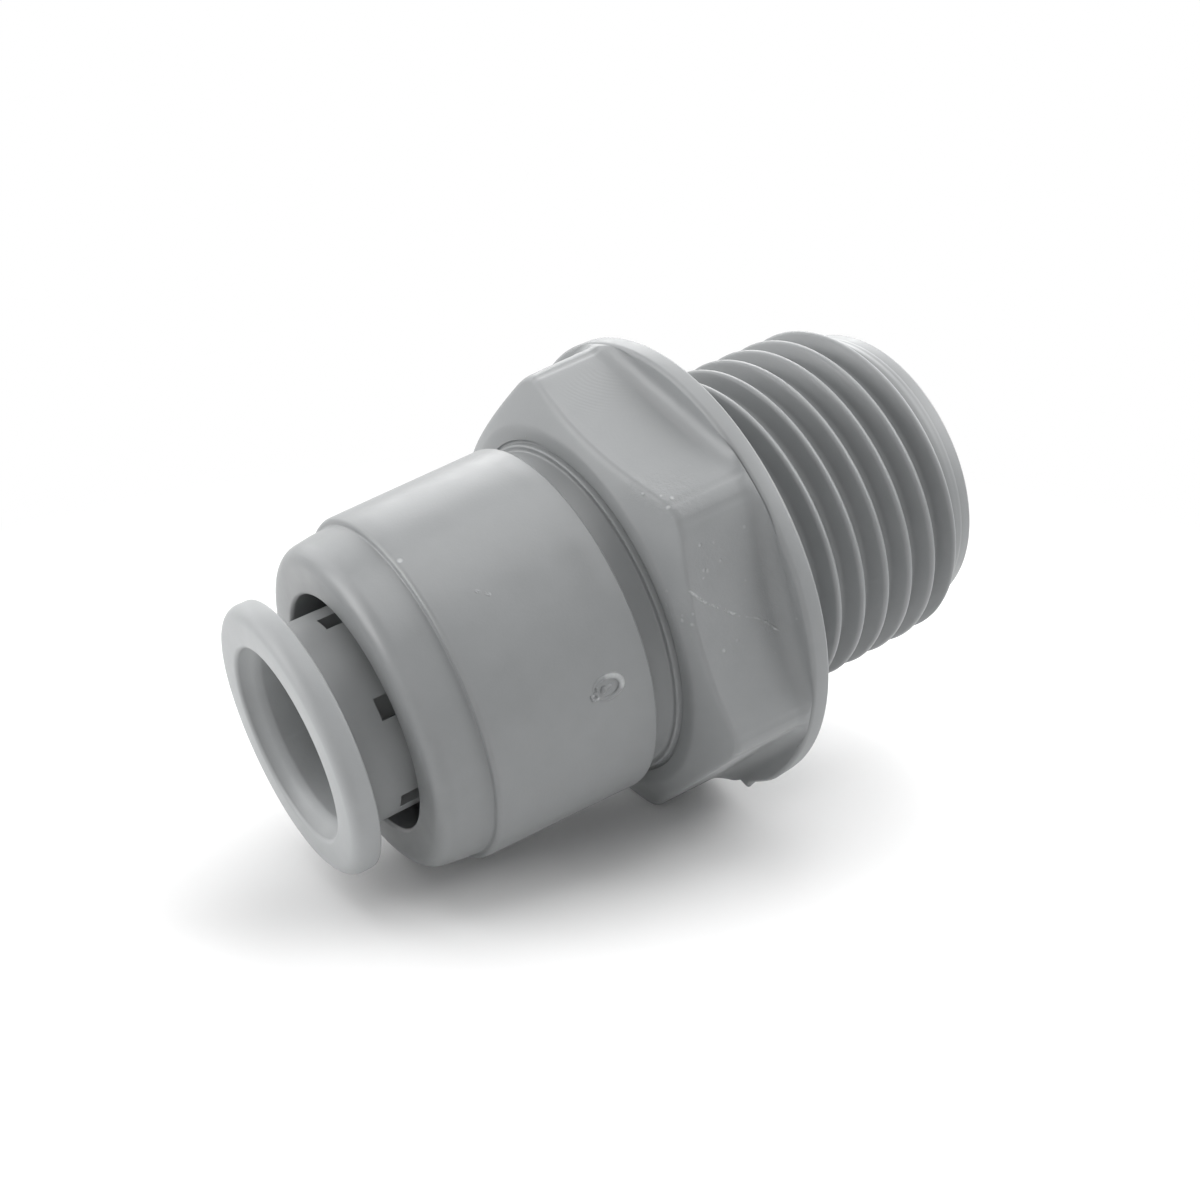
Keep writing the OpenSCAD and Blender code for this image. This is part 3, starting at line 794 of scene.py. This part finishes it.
class ADAPTER_OT_collet(bpy.types.Operator):
    """Collet: flange with its lead-in, slotted tube and the wedge heads of its fingers"""
    bl_idname = "adapter.collet"
    bl_label = "Collet"

    def execute(self, context):
        s = sizes()
        front_z = 41.87
        back_z = front_z - s["collet_flange_t"]
        flange_r = s["collet_flange_d"] / 2
        tube_r = s["collet_d"] / 2
        bore_r = s["collet_bore"] / 2
        lead_r = 5.65
        # Wedge heads: chamfered tips, a short cylinder, the cone that the cap squeezes, and a shoulder
        tips_z, head_r = 31.2, 7.59
        wedge_z, wedge_top_r, wedge_top_z, tube_z = 33.3, 7.15, 34.75, 36.1
        profile = [(bore_r, tips_z + 0.15), (bore_r + 0.15, tips_z), (head_r - 0.6, tips_z)]
        profile += [(head_r - 0.09, tips_z + 0.55), (head_r, tips_z + 0.8)]
        profile += [(head_r, wedge_z - 0.15), (head_r - 0.02, wedge_z), (wedge_top_r, wedge_top_z)]
        profile += [(wedge_top_r - 0.07, wedge_top_z + 0.2), (tube_r + 0.1, tube_z - 0.2)]
        # Tube in three rows of faces, the uppermost above the slots
        profile += [(tube_r, z) for z in (tube_z, 37.0, 38.4, back_z - 0.3)]
        # Flange, from the fillet under it over its rim to the lead-in of the bore
        fillet, back_round, front_round, lead_round = 0.25, 0.15, 0.8, 0.3
        profile += arc((tube_r + fillet, back_z - fillet), fillet, 180, 90, 4)
        profile += arc((flange_r - back_round, back_z + back_round), back_round, -90, 0, 4)
        profile += arc((flange_r - front_round, front_z - front_round), front_round, 0, 90, 10)
        profile += arc((lead_r + lead_round, front_z - lead_round), lead_round, 90, 180, 5)
        profile += [(lead_r - 0.35, front_z - 0.75)]
        profile += [(bore_r + 0.05, front_z - 1.15), (bore_r, front_z - 1.35)]
        piece = turn("collet_moulding", profile, 192)
        # Six slots, cut from the tips up to just above the cap's face
        first_slot, slot_low, slot_high, cut_l = 47, 30.0, 38.1, 5.0
        middle_r, middle_z = tube_r + 1.5, (slot_low + slot_high) / 2
        cutters = []
        for i in range(6):
            a = math.radians(first_slot + 60 * i)
            middle = Vector((middle_r * math.cos(a), middle_r * math.sin(a), middle_z))
            bpy.ops.mesh.primitive_cube_add(size=1.0, location=middle * MM, rotation=(0, 0, a))
            bpy.context.object.scale = (cut_l * MM, s["slot_w"] * MM, (slot_high - slot_low) * MM)
            cutters.append(bpy.context.object)
        cutter = cutters[0]
        join(cutter, cutters)
        cut = piece.modifiers.new("slots", "BOOLEAN")
        cut.operation, cut.solver, cut.object = "DIFFERENCE", "EXACT", cutter
        apply_modifiers(piece)
        bpy.data.objects.remove(cutter)
        soft_edges(piece, 45)
        plastic = bpy.data.materials["grey acetal, moulded collet"]
        dress(piece, "release_collet", "moulded_collet", plastic, "collet")
        return {"FINISHED"}


class ADAPTER_OT_seals(bpy.types.Operator):
    """Seals: two O-rings with the spacer between them and the thrust ring above"""
    bl_idname = "adapter.seals"
    bl_label = "Seals and rings"

    def execute(self, context):
        rubber = bpy.data.materials["nitrile rubber, moulded"]
        natural = bpy.data.materials["natural acetal, moulded"]
        # Thin flash line that the mould leaves on the inner and outer side of an O-ring
        flash = 0.02
        for node in ("inner_o_ring", "outer_o_ring"):
            low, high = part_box(node)
            z = (low.z + high.z) / 2 / MM
            r = (high.z - low.z) / 2 / MM
            centre = high.x / MM - r
            profile = arc((centre, z), r, 3, 177, 18) + [(centre - r - flash, z)]
            profile += arc((centre, z), r, 183, 357, 18) + [(centre + r + flash, z)]
            piece = turn(node + "_moulding", profile, 128)
            soft_edges(piece, 30)
            dress(piece, "fitting", "seal_rubber", rubber, node)
        inner, edge = 5.015, 0.1
        for node in ("spacer", "thrust_ring"):
            low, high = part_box(node)
            z0, z1, outer = low.z / MM, high.z / MM, high.x / MM
            profile = [(inner, z0 + edge), (inner + edge, z0), (outer - edge, z0), (outer, z0 + edge)]
            profile += [(outer, z1 - edge), (outer - edge, z1), (inner + edge, z1), (inner, z1 - edge)]
            piece = turn(node + "_moulding", profile, 128)
            soft_edges(piece, 30)
            dress(piece, "fitting", "natural_plastic", natural, node)
        return {"FINISHED"}


class ADAPTER_OT_teeth(bpy.types.Operator):
    """Teeth: the steel teeth keep their shape and get the finish of stamped strip"""
    bl_idname = "adapter.teeth"
    bl_label = "Teeth"

    def execute(self, context):
        steel = bpy.data.materials["stainless strip, stamped"]
        for i in range(1, 7):
            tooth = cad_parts["tooth_%d" % i]
            tooth.data.materials.clear()
            tooth.data.materials.append(steel)
        return {"FINISHED"}


# Studio

# Point on the axis, about half way up the part, that the lamps look at
MIDDLE = Vector((0, 0, 21)) * MM

# Name, direction (right in the picture, up from the table, towards the camera), distance and size in
# metres, and watts. The last one shines through the table, which throws no shadow, so that the
# underside isn't black from behind.
LAMPS = (
    ("top", (0, 1, 0), 0.45, 0.35, 0.91),
    ("top back", (0.3, 1, -0.6), 0.45, 0.3, 0.28),
    ("top left", (-0.8, 0.8, 0), 0.45, 0.3, 0.5),
    ("top right", (0.8, 0.8, 0), 0.45, 0.3, 0.95),
    ("left", (-1, 0.25, 0.2), 0.45, 0.3, 1.4),
    ("back left", (-0.8, 0.5, -0.7), 0.45, 0.3, 0.47),
    ("back", (0, 0.6, -1), 0.45, 0.3, 0.93),
    ("back right", (0.8, 0.5, -0.8), 0.45, 0.3, 0.73),
    ("right", (1, 0.5, 0), 0.45, 0.3, 0.63),
    ("front", (0, 0.4, 1), 0.5, 0.35, 0.25),
    ("under", (0, -1, 0.2), 0.45, 0.35, 0.2),
)


def soft_light(name, towards, distance, size, watts):
    """Square soft box that looks at the middle of the part from one direction."""
    data = bpy.data.lights.new(name, "AREA")
    data.shape = "SQUARE"
    data.size = size
    data.energy = watts
    lamp = bpy.data.objects.new(name, data)
    bpy.context.scene.collection.objects.link(lamp)
    lamp.location = MIDDLE + towards.normalized() * distance
    lamp.rotation_euler = (-towards).to_track_quat("-Z", "Y").to_euler()


def looked_at(tree):
    """1 for rays that show the room itself: from the camera, in a reflection or through glass."""
    path = add_node(tree, "ShaderNodeLightPath").outputs
    return anywhere(tree, path["Is Camera Ray"], path["Is Glossy Ray"], path["Is Transmission Ray"])


def painted_table(name):
    """White painted board: it takes the shadow round the part, fades to the white of the room further
    out, and can't be seen from behind."""
    tree, place = new_material(name)
    fade_start, fade_end = 35 * MM, 75 * MM
    paint = add_node(tree, "ShaderNodeBsdfDiffuse", {"Color": (*linear("#efefef"), 1.0)}).outputs["BSDF"]
    away = add_node(tree, "ShaderNodeVectorMath", {0: place}, operation="LENGTH").outputs["Value"]
    far = add_node(tree, "ShaderNodeMapRange", {
        "Value": away, "From Min": fade_start, "From Max": fade_end},
        interpolation_type="SMOOTHSTEP").outputs["Result"]
    white = add_node(tree, "ShaderNodeEmission", {"Color": (1, 1, 1, 1), "Strength": 1.0}).outputs["Emission"]
    faded = everywhere(tree, looked_at(tree), far)
    front = add_node(tree, "ShaderNodeMixShader", {0: faded, 1: paint, 2: white}).outputs["Shader"]
    clear = add_node(tree, "ShaderNodeBsdfTransparent").outputs["BSDF"]
    behind = add_node(tree, "ShaderNodeNewGeometry").outputs["Backfacing"]
    one_sided = add_node(tree, "ShaderNodeMixShader", {0: behind, 1: front, 2: clear})
    finish_material(tree, one_sided.outputs["Shader"])


def white_room(name):
    """World that is white to look at and adds only a little light of its own."""
    world = bpy.data.worlds.new(name)
    world.use_nodes = True
    tree = world.node_tree
    tree.nodes.clear()
    strength = add_node(tree, "ShaderNodeMapRange", {
        "Value": looked_at(tree), "To Min": 0.05, "To Max": 1.0}).outputs["Result"]
    sky = add_node(tree, "ShaderNodeBackground", {"Color": (1, 1, 1, 1), "Strength": strength})
    add_node(tree, "ShaderNodeOutputWorld", {"Surface": sky.outputs["Background"]})
    return world


class ADAPTER_OT_studio(bpy.types.Operator):
    """Studio: the table that the fitting lies on in the photograph, soft lights and the camera"""
    bl_idname = "adapter.studio"
    bl_label = "Studio"

    def execute(self, context):
        scene = context.scene
        # The part stands on its thread in this file, but lies on its flange and cap in the
        # photograph, so the table is a plane under its lowest corner, beside the part.
        up = Vector((0.964636, -0.165110, -0.205465)).normalized()
        # Distance from the origin down to the table, just under the hexagon's lowest corner
        drop = 17.8 * MM
        select_none()
        bpy.ops.mesh.primitive_plane_add(size=3.0, location=MIDDLE - up * (MIDDLE.dot(up) + drop))
        table = context.object
        table.name = "table"
        table.rotation_euler = up.to_track_quat("Z", "X").to_euler()
        table.visible_shadow = False
        painted_table("white table, painted")
        table.data.materials.append(bpy.data.materials["white table, painted"])
        scene.world = white_room("white room")

        # Camera as fitted to the photograph: its place, the picture's axes on the part, and its focal
        # length in pixels of a picture of this width
        place = Vector((32.9228, -86.2327, 64.0139)) * MM
        right = Vector((-0.261759, -0.508457, -0.820337))
        head = Vector((0.908752, 0.156412, -0.386918))
        back = Vector((0.325042, -0.846762, 0.421119))
        focal_px, picture_px = 1721.1, 1200
        data = bpy.data.cameras.new("camera")
        data.sensor_width = 36.0
        data.lens = focal_px / picture_px * data.sensor_width
        data.clip_start, data.clip_end = 0.005, 10.0
        camera = bpy.data.objects.new("camera", data)
        scene.collection.objects.link(camera)
        camera.matrix_world = Matrix.Translation(place) @ Matrix((right, head, back)).transposed().to_4x4()
        scene.camera = camera

        near = right.cross(up)
        for name, (aside, above, ahead), distance, size, watts in LAMPS:
            soft_light(name, right * aside + up * above + near * ahead, distance, size, watts)

        scene.view_settings.view_transform = "Standard"
        return {"FINISHED"}


# Add-on

OPERATORS = (
    ADAPTER_OT_materials, ADAPTER_OT_body, ADAPTER_OT_thread, ADAPTER_OT_cap, ADAPTER_OT_collet,
    ADAPTER_OT_seals, ADAPTER_OT_teeth, ADAPTER_OT_studio,
)


class ADAPTER_PT_panel(bpy.types.Panel):
    """Adapter's pieces, sizes and colours"""
    bl_idname = "ADAPTER_PT_panel"
    bl_label = "Male thread adapter"
    bl_space_type = "VIEW_3D"
    bl_region_type = "UI"
    bl_category = "Adapter"

    def draw(self, context):
        layout = self.layout
        for operator in OPERATORS:
            layout.operator(operator.bl_idname)
        for group in (context.scene.adapter_sizes, context.scene.adapter_colours):
            box = layout.box()
            for name in type(group).__annotations__:
                box.prop(group, name)


CLASSES = (AdapterSizes, AdapterColours, *OPERATORS, ADAPTER_PT_panel)


def register():
    for cls in CLASSES:
        bpy.utils.register_class(cls)
    bpy.types.Scene.adapter_sizes = bpy.props.PointerProperty(type=AdapterSizes)
    bpy.types.Scene.adapter_colours = bpy.props.PointerProperty(type=AdapterColours)


def unregister():
    del bpy.types.Scene.adapter_colours
    del bpy.types.Scene.adapter_sizes
    for cls in reversed(CLASSES):
        bpy.utils.unregister_class(cls)


def main():
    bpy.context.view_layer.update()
    register()
    bpy.ops.adapter.materials()
    bpy.ops.adapter.body()
    bpy.ops.adapter.thread()
    bpy.ops.adapter.cap()
    bpy.ops.adapter.collet()
    bpy.ops.adapter.seals()
    bpy.ops.adapter.teeth()
    bpy.ops.adapter.studio()


if __name__ == "__main__":
    main()
